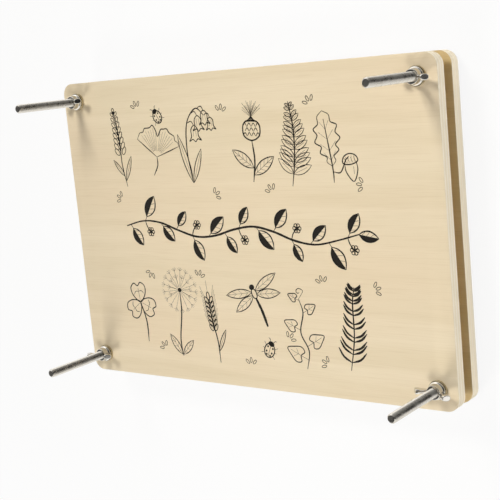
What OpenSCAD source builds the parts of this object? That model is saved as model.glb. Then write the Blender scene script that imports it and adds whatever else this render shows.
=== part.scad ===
// Flower press: two plywood boards squeeze a stack of corrugated card and
// blotting paper. Four long coach bolts stand in the bottom board. The top
// board slides on them, and a washer and a wing nut on each bolt clamp it.
//
// The press lies flat. X runs along the long side of the boards, Y along the
// short side and Z up, out of the printed face of the top board. The origin
// is at the middle of the press, on the table that the bolt heads stand on.

/* [Boards] */
// Length of each board, along X
board_l = 297; // [180:1:420]
// Width of each board, along Y
board_w = 210; // [130:1:300]
// Thickness of each plywood board
board_t = 8; // [5:0.5:15]
// Radius of the rounded corners of the boards
board_corner_r = 8; // [3:0.5:12]
// Distance from the board's edges to the middle of each bolt
bolt_inset = 13; // [12:0.5:20]
// Gap round each bolt in the top board's holes
board_hole_clearance = 0.35; // [0.3:0.05:0.8]

/* [Coach bolts] */
// Outer diameter of the bolt's thread
bolt_d = 5.9; // [5:0.1:7]
// Length of the bolt from under its head to its tip
bolt_l = 82.5; // [60:0.5:120]
// Bevel at the tip of the bolt
bolt_tip_bevel = 0.8; // [0.4:0.1:1.2]
// Diameter of the mushroom head
head_d = 16; // [13:0.5:19]
// Height of the mushroom head
head_h = 3.5; // [2.5:0.1:5]
// Diameter of the flat crown that the press stands on
head_crown_d = 7; // [4:0.5:10]
// Height of the upright rim of the mushroom head
head_rim_h = 0.6; // [0.3:0.1:1]
// Width of the square neck that the bottom board holds
neck_w = 6; // [5.9:0.1:7.5]
// Height of the square neck
neck_h = 3.8; // [2.5:0.1:4.5]

/* [Washers] */
// Outer diameter of the washers
washer_d = 12; // [11:0.5:16]
// Thickness of the washers
washer_t = 1.6; // [1:0.1:2.5]
// Gap between the bolt and the washer's hole
washer_clearance = 0.25; // [0.2:0.05:0.5]

/* [Wing nuts] */
// Gap between the bolt and the nut's bore, a running fit
nut_clearance = 0.05; // [0.02:0.01:0.1]
// Diameter of the round foot of the nut
nut_foot_d = 11; // [9.5:0.1:13]
// Height of the round foot, up to where the hub narrows
nut_foot_h = 1.4; // [0.8:0.1:2]
// Diameter of the top of the hub
nut_hub_d = 8.6; // [8:0.1:9.4]
// Height of the hub
nut_hub_h = 5.4; // [4.8:0.1:9]
// Distance from the bolt's axis to the middle of each round wing end
wing_reach = 9.2; // [8:0.1:12]
// Height of the middle of each wing end over the nut's foot
wing_rise = 7.6; // [5:0.1:9]
// Radius of the round end of each wing
wing_end_r = 2.8; // [1.8:0.1:3.4]
// Thickness of the round end of each wing
wing_end_t = 3.8; // [2.8:0.1:4.4]
// Thickness of the web between the hub and the wing's end
wing_web_t = 2.2; // [1.5:0.1:2.6]
// Rest angle of the wing nut at the front left
wing_angle_front_left = 2; // [-90:1:90]
// Rest angle of the wing nut at the front right
wing_angle_front_right = -7; // [-90:1:90]
// Rest angle of the wing nut at the back left
wing_angle_back_left = 5; // [-90:1:90]
// Rest angle of the wing nut at the back right
wing_angle_back_right = -4; // [-90:1:90]

/* [Sheets] */
// Distance that the sheets stay in from the edges of the boards
sheet_margin = 8; // [4:0.5:14]
// Gap between each bolt and the cut corner of the sheets
sheet_bolt_gap = 4; // [2:0.5:8]
// Thickness of a sheet of corrugated card
card_t = 1.6; // [1.2:0.1:2.5]
// Thickness of a sheet of blotting paper
blotter_t = 0.6; // [0.3:0.1:1]

/* [Hidden] */

// The four corners, as signs along X and Y
front_left = [-1, -1];
front_right = [1, -1];
back_left = [-1, 1];
back_right = [1, 1];

// Middle of the bolt at a corner
bolt_x = board_l / 2 - bolt_inset;
bolt_y = board_w / 2 - bolt_inset;

// The stack from the bottom up: a card, then for each layer of flowers the two
// blotters that hold it and the next card
flower_layers = 3;
layer_t = 2 * blotter_t + card_t;
stack_t = card_t + flower_layers * layer_t;

// Heights of the faces that the pieces sit on
bottom_board_z = head_h;
stack_z = bottom_board_z + board_t;
top_board_z = stack_z + stack_t;
washer_z = top_board_z + board_t;
nut_z = washer_z + washer_t;

// How far every cut runs past the face that it opens
cut_over = 1;

$fn = 96;

// The sheets' corners are cut at 45 degrees, so that each cut keeps its gap to the bolt
corner_cut = (bolt_d / 2 + sheet_bolt_gap) / cos(45) + 2 * (bolt_inset - sheet_margin);

// A rectangle with round corners, about the middle
module rounded_rectangle(l, w, r) {
    square([l - 2 * r, w], center = true);
    square([l, w - 2 * r], center = true);
    for (sx = [-1, 1])
        for (sy = [-1, 1])
            translate([sx * (l / 2 - r), sy * (w / 2 - r)])
                circle(r);
}

module at_bolt(corner) {
    translate([corner.x * bolt_x, corner.y * bolt_y, 0])
        children();
}

module at_every_bolt() {
    for (corner = [front_left, front_right, back_left, back_right])
        at_bolt(corner)
            children();
}

module board_blank() {
    linear_extrude(board_t)
        rounded_rectangle(board_l, board_w, board_corner_r);
}

// The square necks of the bolts sit in square seats in the underside
module bottom_board() {
    color("wheat")
        translate([0, 0, bottom_board_z])
            difference() {
                board_blank();
                at_every_bolt() {
                    translate([-neck_w / 2, -neck_w / 2, -cut_over])
                        cube([neck_w, neck_w, neck_h + cut_over]);
                    cylinder(h = board_t + cut_over, d = bolt_d);
                }
            }
}

module top_board() {
    hole_d = bolt_d + 2 * board_hole_clearance;
    color("wheat")
        translate([0, 0, top_board_z])
            difference() {
                board_blank();
                at_every_bolt()
                    translate([0, 0, -cut_over])
                        cylinder(h = board_t + 2 * cut_over, d = hole_d);
            }
}

// Half section of the mushroom head: a flat crown, a dome and an upright rim.
// The dome is round about a point on the bolt's axis
module head_section() {
    crown_r = head_crown_d / 2;
    head_r = head_d / 2;
    dome_h = head_h - head_rim_h;
    dome_middle_z = (head_r * head_r - crown_r * crown_r + dome_h * dome_h) / (2 * dome_h);
    dome_r = norm([crown_r, dome_middle_z]);
    intersection() {
        square([head_r, head_h]);
        translate([0, dome_middle_z])
            circle(dome_r);
    }
}

// The neck and the shank start in the middle of the head, so that the three are one
module bolt(corner) {
    thread_r = bolt_d / 2;
    root_h = head_h / 2;
    thread_end_z = head_h + bolt_l - bolt_tip_bevel;
    color("silver")
        at_bolt(corner) {
            rotate_extrude()
                head_section();
            translate([-neck_w / 2, -neck_w / 2, head_h - root_h])
                cube([neck_w, neck_w, neck_h + root_h]);
            translate([0, 0, head_h - root_h])
                cylinder(h = thread_end_z - head_h + root_h, r = thread_r);
            translate([0, 0, thread_end_z])
                cylinder(h = bolt_tip_bevel, r1 = thread_r, r2 = thread_r - bolt_tip_bevel);
        }
}

module washer(corner) {
    color("lightgray")
        at_bolt(corner)
            translate([0, 0, washer_z])
                difference() {
                    cylinder(h = washer_t, d = washer_d);
                    translate([0, 0, -cut_over])
                        cylinder(h = washer_t + 2 * cut_over, r = bolt_d / 2 + washer_clearance);
                }
}

// Two circles of unlike radius with their outer tangents, in the plane
module link(from, from_r, to, to_r) {
    run = to - from;
    spread = norm(run);
    lean = acos((from_r - to_r) / spread);
    heading = atan2(run.y, run.x);
    up = [cos(heading + lean), sin(heading + lean)];
    down = [cos(heading - lean), sin(heading - lean)];
    polygon([from + from_r * up, to + to_r * up, to + to_r * down, from + from_r * down]);
    translate(from)
        circle(from_r);
    translate(to)
        circle(to_r);
}

// One wing, standing in the XZ plane: a web and a thicker round end
module wing() {
    // The web grows out of the middle of the hub's wall
    root_r = nut_hub_h / 3;
    root = [nut_hub_d / 2 - wing_web_t / 2, nut_foot_h + root_r];
    tip = [wing_reach, wing_rise];
    // The rim of the round end is bevelled by a third of its thickness
    end_bevel = (wing_end_t - wing_web_t) / 2;
    rotate([90, 0, 0]) {
        linear_extrude(wing_web_t, center = true)
            link(root, root_r, tip, wing_end_r - end_bevel);
        translate([wing_reach, wing_rise, 0]) {
            cylinder(h = wing_end_t - 2 * end_bevel, r = wing_end_r, center = true);
            for (side = [0, 1])
                mirror([0, 0, side])
                    translate([0, 0, wing_end_t / 2 - end_bevel])
                        cylinder(h = end_bevel, r1 = wing_end_r, r2 = wing_end_r - end_bevel);
        }
    }
}

module wing_nut(corner, angle) {
    color("silver")
        at_bolt(corner)
            translate([0, 0, nut_z])
                rotate([0, 0, angle])
                    difference() {
                        union() {
                            cylinder(h = nut_foot_h, d = nut_foot_d);
                            translate([0, 0, nut_foot_h])
                                cylinder(h = nut_hub_h - nut_foot_h, d1 = nut_foot_d, d2 = nut_hub_d);
                            wing();
                            mirror([1, 0, 0])
                                wing();
                        }
                        translate([0, 0, -cut_over])
                            cylinder(h = nut_hub_h + 2 * cut_over, r = bolt_d / 2 + nut_clearance);
                    }
}

// A rectangle with its corners cut off at 45 degrees to clear the bolts
module sheet(z, t) {
    x = board_l / 2 - sheet_margin;
    y = board_w / 2 - sheet_margin;
    translate([0, 0, z])
        linear_extrude(t)
            polygon([
                [-x, corner_cut - y], [corner_cut - x, -y],
                [x - corner_cut, -y], [x, corner_cut - y],
                [x, y - corner_cut], [x - corner_cut, y],
                [corner_cut - x, y], [-x, y - corner_cut]
            ]);
}

// Card 1 lies on the bottom board, and each layer of flowers adds one above it
module card(number) {
    color("burlywood")
        sheet(stack_z + (number - 1) * layer_t, card_t);
}

// Blotters 1 and 2 lie over card 1, 3 and 4 over card 2, and 5 and 6 over card 3
module blotter(number) {
    layer = floor((number - 1) / 2);
    place_in_pair = (number - 1) % 2;
    color("ivory")
        sheet(stack_z + layer * layer_t + card_t + place_in_pair * blotter_t, blotter_t);
}

bottom_board();
top_board();
bolt(front_left);  // bolt_front_left
bolt(front_right);  // bolt_front_right
bolt(back_left);  // bolt_back_left
bolt(back_right);  // bolt_back_right
washer(front_left);  // washer_front_left
washer(front_right);  // washer_front_right
washer(back_left);  // washer_back_left
washer(back_right);  // washer_back_right
wing_nut(front_left, wing_angle_front_left);  // wing_nut_front_left
wing_nut(front_right, wing_angle_front_right);  // wing_nut_front_right
wing_nut(back_left, wing_angle_back_left);  // wing_nut_back_left
wing_nut(back_right, wing_angle_back_right);  // wing_nut_back_right
card(1);  // card_1
card(2);  // card_2
card(3);  // card_3
card(4);  // card_4
blotter(1);  // blotter_1
blotter(2);  // blotter_2
blotter(3);  // blotter_3
blotter(4);  // blotter_4
blotter(5);  // blotter_5
blotter(6);  // blotter_6
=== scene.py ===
import math
import random

import bmesh
import bpy
from mathutils import Matrix, Vector


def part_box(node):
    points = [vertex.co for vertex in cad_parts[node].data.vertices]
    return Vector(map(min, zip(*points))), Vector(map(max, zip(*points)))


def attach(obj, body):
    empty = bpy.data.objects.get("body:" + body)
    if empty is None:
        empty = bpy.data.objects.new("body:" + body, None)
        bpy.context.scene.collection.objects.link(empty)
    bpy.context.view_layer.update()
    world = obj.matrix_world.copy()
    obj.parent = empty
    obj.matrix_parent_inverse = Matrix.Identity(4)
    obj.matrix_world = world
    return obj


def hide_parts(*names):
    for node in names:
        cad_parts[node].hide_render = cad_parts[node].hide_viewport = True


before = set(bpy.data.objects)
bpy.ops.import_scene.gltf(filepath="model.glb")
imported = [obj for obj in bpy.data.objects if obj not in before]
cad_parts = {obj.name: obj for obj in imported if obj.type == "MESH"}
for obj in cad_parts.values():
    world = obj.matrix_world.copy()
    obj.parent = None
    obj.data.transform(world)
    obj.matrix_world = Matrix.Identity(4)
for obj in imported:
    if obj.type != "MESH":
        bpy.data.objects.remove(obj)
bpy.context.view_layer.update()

# Camera
# The press lies flat with its printed face up. The camera looks down on it from the right
# and is rolled until the short sides of the boards stand upright. Its place, turn and lens
# were fitted to the boards' edges and the bolts' axes in the photograph.
MM = 0.001
camera_place = Vector((440.72, 108.14, 595.10)) * MM
camera_right = Vector((0.796886, -0.093697, -0.596819))
camera_up = Vector((-0.02151, 0.982873, -0.183024))
camera_back = camera_right.cross(camera_up).normalized()

camera = bpy.data.objects.new("camera", bpy.data.cameras.new("camera"))
bpy.context.scene.collection.objects.link(camera)
bpy.context.scene.camera = camera
turn = Matrix((camera_right, camera_up, camera_back)).transposed()
camera.matrix_world = Matrix.Translation(camera_place) @ turn.to_4x4()
camera.data.sensor_width = 36
camera.data.lens = 80.3
camera.data.shift_x = 0.00637
camera.data.shift_y = -0.01419
camera.data.clip_start = 0.02
camera.data.clip_end = 20
bpy.context.scene.view_settings.view_transform = "Standard"


# Floor and light
# A sheet of white studio paper under the press, a soft box beyond each of its long sides, a
# weak one over its right half, and a room with a low white screen all round.
def linear(colour):
    """An sRGB hex colour as linear red, green, blue and alpha."""
    parts = [int(colour[i:i + 2], 16) / 255 for i in (0, 2, 4)]
    return [p / 12.92 if p <= 0.04045 else ((p + 0.055) / 1.055) ** 2.4 for p in parts] + [1]


def add(tree, kind, links=None, **settings):
    """Adds one node. settings are its properties, and links its sockets' values or sources."""
    node = tree.nodes.new(kind)
    for name, value in settings.items():
        setattr(node, name, value)
    for socket, value in (links or {}).items():
        if isinstance(value, bpy.types.Node):
            value = value.outputs[0]
        if isinstance(value, bpy.types.NodeSocket):
            tree.links.new(value, node.inputs[socket])
        else:
            node.inputs[socket].default_value = value
    return node


def new_material(name):
    """An empty material, its tree, and the place on the object that is shaded."""
    material = bpy.data.materials.new(name)
    material.use_nodes = True
    tree = material.node_tree
    tree.nodes.clear()
    return material, tree, add(tree, "ShaderNodeTexCoord").outputs["Object"]


# Studio paper: matt and white. Seen straight on, or in metal on its left half, it glows a
# little, so that it comes out white, and it still takes the shadow of the press.
paper_white, tree, spot = new_material("white_studio_paper")
path = add(tree, "ShaderNodeLightPath")
along = add(tree, "ShaderNodeSeparateXYZ", {0: spot}).outputs["X"]
near = add(tree, "ShaderNodeMapRange", {0: along, 1: 0.20, 2: 0.60, 3: 1.0, 4: 0.0})
in_metal = add(tree, "ShaderNodeMath", {0: path.outputs["Is Glossy Ray"], 1: near}, operation="MULTIPLY")
seen = add(tree, "ShaderNodeMath", {0: path.outputs["Is Camera Ray"], 1: in_metal}, operation="ADD")
seen = add(tree, "ShaderNodeMath", {0: seen, 1: path.outputs["Is Transmission Ray"]},
           operation="ADD", use_clamp=True)
# close to the press it glows a tenth less, so that the shadow can be seen
far = add(tree, "ShaderNodeVectorMath", {0: spot}, operation="LENGTH").outputs["Value"]
share = add(tree, "ShaderNodeMapRange", {0: far, 1: 0.25, 2: 0.70, 3: 0.90, 4: 1.0})
seen = add(tree, "ShaderNodeMath", {0: seen, 1: share}, operation="MULTIPLY")
matt = add(tree, "ShaderNodeBsdfDiffuse", {"Color": linear("f0f0ee")})
glow = add(tree, "ShaderNodeEmission", {"Color": linear("ffffff"), "Strength": 1.0})
paper = add(tree, "ShaderNodeMixShader", {0: seen, 1: matt, 2: glow})
add(tree, "ShaderNodeOutputMaterial", {"Surface": paper})

floor_half = 3.0
quarters = ((-1, -1), (1, -1), (1, 1), (-1, 1))
floor_mesh = bpy.data.meshes.new("floor")
floor_mesh.from_pydata([(x * floor_half, y * floor_half, 0) for x, y in quarters], [], [(0, 1, 2, 3)])
floor_mesh.materials.append(paper_white)
floor = bpy.data.objects.new("floor", floor_mesh)
bpy.context.scene.collection.objects.link(floor)


def soft_box(name, place, aim, width, height, watts, colour, spread=180):
    """A rectangular lamp that looks at aim. Metal mirrors the screens in the room instead of it.

    watts is its power, and spread the angle in degrees that its grid lets out.
    """
    lamp = bpy.data.lights.new(name, "AREA")
    lamp.shape, lamp.size, lamp.size_y = "RECTANGLE", width, height
    lamp.energy, lamp.color, lamp.spread = watts, linear(colour)[:3], math.radians(spread)
    box = bpy.data.objects.new(name, lamp)
    bpy.context.scene.collection.objects.link(box)
    box.visible_glossy = False
    box.location = place
    box.rotation_mode = "QUATERNION"
    box.rotation_quaternion = (Vector(aim) - Vector(place)).to_track_quat("-Z", "Y")


# name, place and aim in metres, width and height, power, colour and spread
soft_box("upper_soft_box", (-0.17, 0.66, 0.84), (0.38, 0, 0.02), 0.28, 0.26, 3.24, "fffbf4", 120)
soft_box("lower_soft_box", (-0.28, -0.60, 0.70), (0.38, 0, 0.02), 0.36, 0.34, 2.28, "fffbf6", 120)
soft_box("right_soft_box", (0.18, -0.04, 0.62), (0.06, 0, 0.02), 0.40, 0.40, 0.45, "fffbf6")

world = bpy.data.worlds.new("studio")
bpy.context.scene.world = world
world.use_nodes = True
tree = world.node_tree
tree.nodes.clear()
# the room: a low white screen all round, strongest on the right, whose edges no lamp reaches,
# dim above it, where the camera stands, and plain grey below the floor
way = add(tree, "ShaderNodeSeparateXYZ", {0: add(tree, "ShaderNodeTexCoord").outputs["Generated"]})


def screen(*fades):
    """A screen's brightness. Each fade has an axis, two places on it and the factors at the two."""
    factors = [add(tree, "ShaderNodeMapRange", {0: way.outputs[axis], 1: start, 2: end, 3: first, 4: last})
               for axis, start, end, first, last in fades]
    bright = factors[0]
    for factor in factors[1:]:
        bright = add(tree, "ShaderNodeMath", {0: bright, 1: factor}, operation="MULTIPLY")
    return bright


all_round = screen(("Z", 0.10, 0.26, 4.4, 0.08), ("X", 0.20, 0.70, 0.6, 1.0), ("Z", -0.08, -0.03, 0.2, 1.0))
room = add(tree, "ShaderNodeBackground", {"Color": linear("f6f7fa"), "Strength": all_round})
# metal sees a low white screen on the left and taller ones beyond the two long sides of the
# press, the back one at its left only. Elsewhere, as behind the camera, the room is nearly dark.
low_left = screen(("Z", 0.28, 0.44, 1.3, 0.0), ("X", 0.05, 0.40, 1.0, 0.04))
back = screen(("Y", 0.42, 0.66, 0.0, 1.7), ("X", -0.40, -0.08, 1.0, 0.12))
mirrored = add(tree, "ShaderNodeMath", {0: low_left, 1: back}, operation="MAXIMUM")
# the screen beyond the front side reaches further round on the right
reach = add(tree, "ShaderNodeMapRange", {0: way.outputs["X"], 1: 0.55, 2: 0.75, 3: 0.0, 4: 0.42})
front_y = add(tree, "ShaderNodeMath", {0: way.outputs["Y"], 1: reach}, operation="SUBTRACT")
front = add(tree, "ShaderNodeMapRange", {0: front_y, 1: -0.80, 2: -0.55, 3: 1.2, 4: 0.0})
mirrored = add(tree, "ShaderNodeMath", {0: mirrored, 1: front}, operation="MAXIMUM")
elsewhere = screen(("X", 0.50, 0.80, 0.09, 0.02))
mirrored = add(tree, "ShaderNodeMath", {0: mirrored, 1: elsewhere}, operation="ADD")
mirrored_room = add(tree, "ShaderNodeBackground", {"Color": linear("ffffff"), "Strength": mirrored})
seen_room = add(tree, "ShaderNodeBackground", {"Color": linear("ffffff"), "Strength": 1.0})
path = add(tree, "ShaderNodeLightPath")
mixed = add(tree, "ShaderNodeMixShader", {0: path.outputs["Is Glossy Ray"], 1: room, 2: mirrored_room})
mixed = add(tree, "ShaderNodeMixShader", {0: path.outputs["Is Camera Ray"], 1: mixed, 2: seen_room})
add(tree, "ShaderNodeOutputWorld", {"Surface": mixed})


# Boards
# Two boards of basswood plywood, five plies of 1.6 mm, sawn to A4 size with round corners,
# sanded, and left without varnish. The arris all round is eased with fine paper.
arris = 0.6 * MM
board_t = 8 * MM
ply_t = board_t / 5
# a face turned up or down by more than this shows veneer, and any other shows the plies
veneer_tilt = 0.7
# points nearer to each other than weld are made one, and faces less than flat_within degrees
# out of line are made one flat face
weld = 0.001 * MM
flat_within = 0.5


def mesh_of(bm, name):
    """The bmesh as a new mesh, with no material yet. The bmesh is freed."""
    mesh = bpy.data.meshes.new(name)
    bm.to_mesh(mesh)
    bm.free()
    mesh.materials.clear()
    return mesh


def merged_copy(node, name, rounding, sharp=40):
    """A copy of a CAD node with its triangles joined and its sharp edges rounded, inside its box.

    sharp is the angle in degrees from which an edge is rounded.
    """
    bm = bmesh.new()
    bm.from_mesh(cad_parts[node].data)
    bmesh.ops.remove_doubles(bm, verts=bm.verts, dist=weld)
    bmesh.ops.dissolve_limit(bm, angle_limit=math.radians(flat_within), verts=bm.verts, edges=bm.edges)
    edges = [e for e in bm.edges if len(e.link_faces) == 2 and e.calc_face_angle() > math.radians(sharp)]
    bmesh.ops.bevel(bm, geom=edges, offset=rounding, offset_type="OFFSET", segments=4, profile=0.5,
                    affect="EDGES", clamp_overlap=True)
    bmesh.ops.recalc_face_normals(bm, faces=bm.faces)
    return mesh_of(bm, name)


def finished(mesh, name, body, smooth_under=35):
    """A new object for a mesh, smooth but for its sharp edges, that rides on a body."""
    mesh.polygons.foreach_set("use_smooth", [True] * len(mesh.polygons))
    mesh.set_sharp_from_angle(angle=math.radians(smooth_under))
    piece = bpy.data.objects.new(name, mesh)
    bpy.context.scene.collection.objects.link(piece)
    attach(piece, body)
    return piece


def basswood_veneer(name, shift, light="ebddc1", dark="e1d2b3", pink="ead7b9", line="c9b28a"):
    """Sanded basswood: pale cream, soft lengthwise streaks, hair-fine grain lines and short pores."""
    material, tree, spot = new_material(name)
    spot = add(tree, "ShaderNodeMapping", {"Vector": spot, "Location": shift})
    # growth bands, about 12 mm apart and very long
    bands_at = add(tree, "ShaderNodeMapping", {"Vector": spot, "Scale": (4, 85, 40)})
    bands = add(tree, "ShaderNodeTexNoise", {"Vector": bands_at, "Scale": 1.0, "Detail": 3.0,
                                             "Roughness": 0.55, "Distortion": 0.6})
    # broad warm and cool zones, some 80 mm across
    zones_at = add(tree, "ShaderNodeMapping", {"Vector": spot, "Scale": (5, 14, 10)})
    zones = add(tree, "ShaderNodeTexNoise", {"Vector": zones_at, "Scale": 1.0, "Detail": 2.0})
    # fibres, about 0.6 mm apart and 25 mm long, drawn a little coarser than the real ones
    fibre_at = add(tree, "ShaderNodeMapping", {"Vector": spot, "Scale": (40, 1600, 600)})
    fibre = add(tree, "ShaderNodeTexNoise", {"Vector": fibre_at, "Scale": 1.0, "Detail": 2.0})
    base = add(tree, "ShaderNodeValToRGB", {0: bands})
    base.color_ramp.elements[0].position, base.color_ramp.elements[1].position = 0.30, 0.72
    base.color_ramp.elements[0].color = linear(dark)
    base.color_ramp.elements[1].color = linear(light)
    warm = add(tree, "ShaderNodeMapRange", {0: zones, 1: 0.42, 2: 0.72, 3: 0.0, 4: 0.55})
    toned = add(tree, "ShaderNodeMix", {0: warm, 6: base, 7: linear(pink)}, data_type="RGBA")
    thin = add(tree, "ShaderNodeMapRange", {0: fibre, 1: 0.50, 2: 0.80, 3: 0.0, 4: 0.22})
    lined = add(tree, "ShaderNodeMix", {0: thin, 6: toned.outputs[2], 7: linear(line)}, data_type="RGBA")
    dull = add(tree, "ShaderNodeMapRange", {0: fibre, 3: 0.50, 4: 0.66})
    relief = add(tree, "ShaderNodeBump", {"Height": fibre, "Strength": 0.12, "Distance": 0.00005})
    skin = add(tree, "ShaderNodeBsdfPrincipled", {"Base Color": lined.outputs[2], "Roughness": dull,
                                                  "Specular IOR Level": 0.3, "Normal": relief})
    add(tree, "ShaderNodeOutputMaterial", {"Surface": skin})
    return material


def plywood_edge(name, lowest, pale=("ebe0c8", "f6eddb", "e4d6b8", "f1e6ce")):
    """The sawn and sanded edge: five plies, turn about long grain and end grain, and thin glue lines."""
    material, tree, spot = new_material(name)
    z = add(tree, "ShaderNodeSeparateXYZ", {0: spot}).outputs["Z"]
    up = add(tree, "ShaderNodeMath", {0: z, 1: lowest}, operation="SUBTRACT")
    plies = add(tree, "ShaderNodeMath", {0: up, 1: ply_t}, operation="DIVIDE")
    number = add(tree, "ShaderNodeMath", {0: plies}, operation="FLOOR")
    cross = add(tree, "ShaderNodeMath", {0: number, 1: 2.0}, operation="MODULO")
    in_ply = add(tree, "ShaderNodeMath", {0: plies}, operation="FRACT")
    from_middle = add(tree, "ShaderNodeMath", {0: in_ply, 1: 0.5}, operation="SUBTRACT")
    from_middle = add(tree, "ShaderNodeMath", {0: from_middle}, operation="ABSOLUTE")
    glue = add(tree, "ShaderNodeMapRange", {0: from_middle, 1: 0.44, 2: 0.5, 3: 0.0, 4: 0.30})
    # grain 0.7 mm apart and 20 mm long, coarser than the real one so that it shows: along X in
    # the outer and middle plies and along Y in the two between them
    along_x = add(tree, "ShaderNodeMapping", {"Vector": spot, "Scale": (50, 1500, 1500)})
    along_y = add(tree, "ShaderNodeMapping", {"Vector": spot, "Scale": (1500, 50, 1500)})
    grain_x = add(tree, "ShaderNodeTexNoise", {"Vector": along_x, "Scale": 1.0, "Detail": 3.0})
    grain_y = add(tree, "ShaderNodeTexNoise", {"Vector": along_y, "Scale": 1.0, "Detail": 3.0})
    grain = add(tree, "ShaderNodeMix", {0: cross, 2: grain_x, 3: grain_y})
    long_ply = add(tree, "ShaderNodeMix", {0: grain, 6: linear(pale[0]), 7: linear(pale[1])},
                   data_type="RGBA")
    cross_ply = add(tree, "ShaderNodeMix", {0: grain, 6: linear(pale[2]), 7: linear(pale[3])},
                    data_type="RGBA")
    wood = add(tree, "ShaderNodeMix", {0: cross, 6: long_ply.outputs[2], 7: cross_ply.outputs[2]},
               data_type="RGBA")
    glued = add(tree, "ShaderNodeMix", {0: glue, 6: wood.outputs[2], 7: linear("a88c60")}, data_type="RGBA")
    relief = add(tree, "ShaderNodeBump", {"Height": grain, "Strength": 0.2, "Distance": 0.00006})
    skin = add(tree, "ShaderNodeBsdfPrincipled", {"Base Color": glued.outputs[2], "Roughness": 0.72,
                                                  "Specular IOR Level": 0.25, "Normal": relief})
    add(tree, "ShaderNodeOutputMaterial", {"Surface": skin})
    return material


def board(node, body, shift, inner_side, *edge):
    """One plywood board: veneer on its two faces, a darker inner face that is painted shade, and plies on
    its edge.
    """
    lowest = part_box(node)[0].z
    mesh = merged_copy(node, node + "_plywood", arris)
    mesh.materials.append(basswood_veneer(node + "_sanded_basswood_veneer", shift))
    mesh.materials.append(plywood_edge(node + "_sanded_basswood_plies", lowest, *edge))
    # the inner face is darker and more ochre: painted shade of the narrow gap between the boards
    mesh.materials.append(basswood_veneer(node + "_painted_shade_basswood_veneer", shift,
                                          "e8d2a0", "dcc48f", "e4c896", "b8935c"))
    for polygon in mesh.polygons:
        tilt = polygon.normal.z * inner_side
        polygon.material_index = 2 if tilt > veneer_tilt else 0 if tilt < -veneer_tilt else 1
    piece = finished(mesh, node + "_plywood", body)
    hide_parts(node)


# the bottom board's plies are paler than the top board's: painted light on its edge
board("bottom_board", "base", (0.31, 0.17, 0.2), 1, ("f8ecd1", "fbf1dd", "f5e7c9", "f9edd5"))
board("top_board", "top_board", (0.05, 0.42, 0.0), -1)


# Print on the top board
# A black line drawing of garden plants, screen printed on the bare veneer. The ink lies
# on the wood as a thin film, here 0.04 mm high, and follows the strokes of a pen.
ink_top = 0.04 * MM
ink_root = 0.03 * MM
printed_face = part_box("top_board")[1].z
# the unevenness of the hand that draws, which is the same on every run
hand = random.Random(7)
# a stroke is its points, its half width at each of them, and whether it is closed
strokes, fills = [], []


def flow(points, steps=7, closed=False):
    """A smooth line through the points, in mm."""
    p = [Vector(q).to_2d() for q in points]
    ring = p if closed else [2 * p[0] - p[1]] + p + [2 * p[-1] - p[-2]]
    count = len(ring) if closed else len(ring) - 3
    line = []
    for i in range(count):
        a, b, c, d = (ring[(i + k - (1 if closed else 0)) % len(ring)] for k in range(4))
        for s in range(steps):
            t = s / steps
            line.append(0.5 * (2 * b + (c - a) * t + (2 * a - 5 * b + 4 * c - d) * t * t
                               + (3 * b - a - 3 * c + d) * t * t * t))
    return line if closed else line + [p[-1]]


def ray(angle):
    """A line's direction, from its angle in degrees."""
    return Vector((math.cos(math.radians(angle)), math.sin(math.radians(angle))))


def moved(line, place, angle=0.0, size=1.0):
    """A line made larger, turned by an angle in degrees and moved to a place."""
    turn = Matrix.Rotation(math.radians(angle), 2)
    return [Vector(place) + turn @ Vector(p) * size for p in line]


def round_line(middle, rx, ry, lean=0.0, count=18):
    """A closed oval, in mm, leaned by an angle in degrees."""
    rays = (ray(360 * i / count) for i in range(count))
    return moved([(rx * p.x, ry * p.y) for p in rays], middle, lean)


class Sprig:
    """One drawing: its strokes are made upright with its foot at 0, 0, then put in its place.

    weight is the factor by which the pen is broader than the widths that the drawing asks for.
    """

    def __init__(self, x, y, lean=0.0, size=1.0, weight=1.45):
        self.place, self.lean, self.size, self.weight = (x, y), lean, size, weight

    def draw(self, line, pen=0.5, closed=False, taper=0.45):
        """A pen stroke of that width in mm. An open one thins over its first and last quarter.

        taper is what share of the width is left at its two ends.
        """
        line = moved(line, self.place, self.lean, self.size)
        ends = [1.0] * len(line)
        if not closed:
            for i in range(len(line)):
                near = min(i, len(line) - 1 - i) / max(1, (len(line) - 1) * 0.25)
                ends[i] = taper + (1 - taper) * min(1.0, near)
        strokes.append((line, [pen * self.weight / 2 * e * hand.uniform(0.9, 1.1) for e in ends], closed))

    def fill(self, line):
        """A solid spot of ink."""
        fills.append(moved(line, self.place, self.lean, self.size))

    def leaf(self, foot, angle, length, width, veins, pen, vein_pen=0.26, rib=0.86, solid=0):
        """An outlined leaf with a midrib and side veins, pointing along an angle in degrees.

        solid is the side, 1 or -1, whose half is inked all over.
        """
        shape = [(0, 0), (0.22, 0.36), (0.5, 0.5), (0.78, 0.33), (1, 0)]
        for side in (1, -1):
            half = moved(flow([(u * length, side * v * width) for u, v in shape], 5), foot, angle)
            self.draw(half, pen)
            if side == solid:
                self.fill(half)
        self.draw(moved([(0, 0), (length * rib, 0)], foot, angle), vein_pen + 0.06)
        # veins start between 0.16 and 0.82 of the leaf's length, and are longest a third of the way up
        for i in range(veins):
            u = 0.16 + 0.66 * i / (veins - 1)
            reach = width * 0.42 * math.sin(math.pi * (u + 0.14) ** 0.9)
            for side in (-solid,) if solid else (1, -1):
                vein = [(u * length, 0), ((u + 0.13) * length, side * reach)]
                self.draw(moved(vein, foot, angle), vein_pen)


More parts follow.
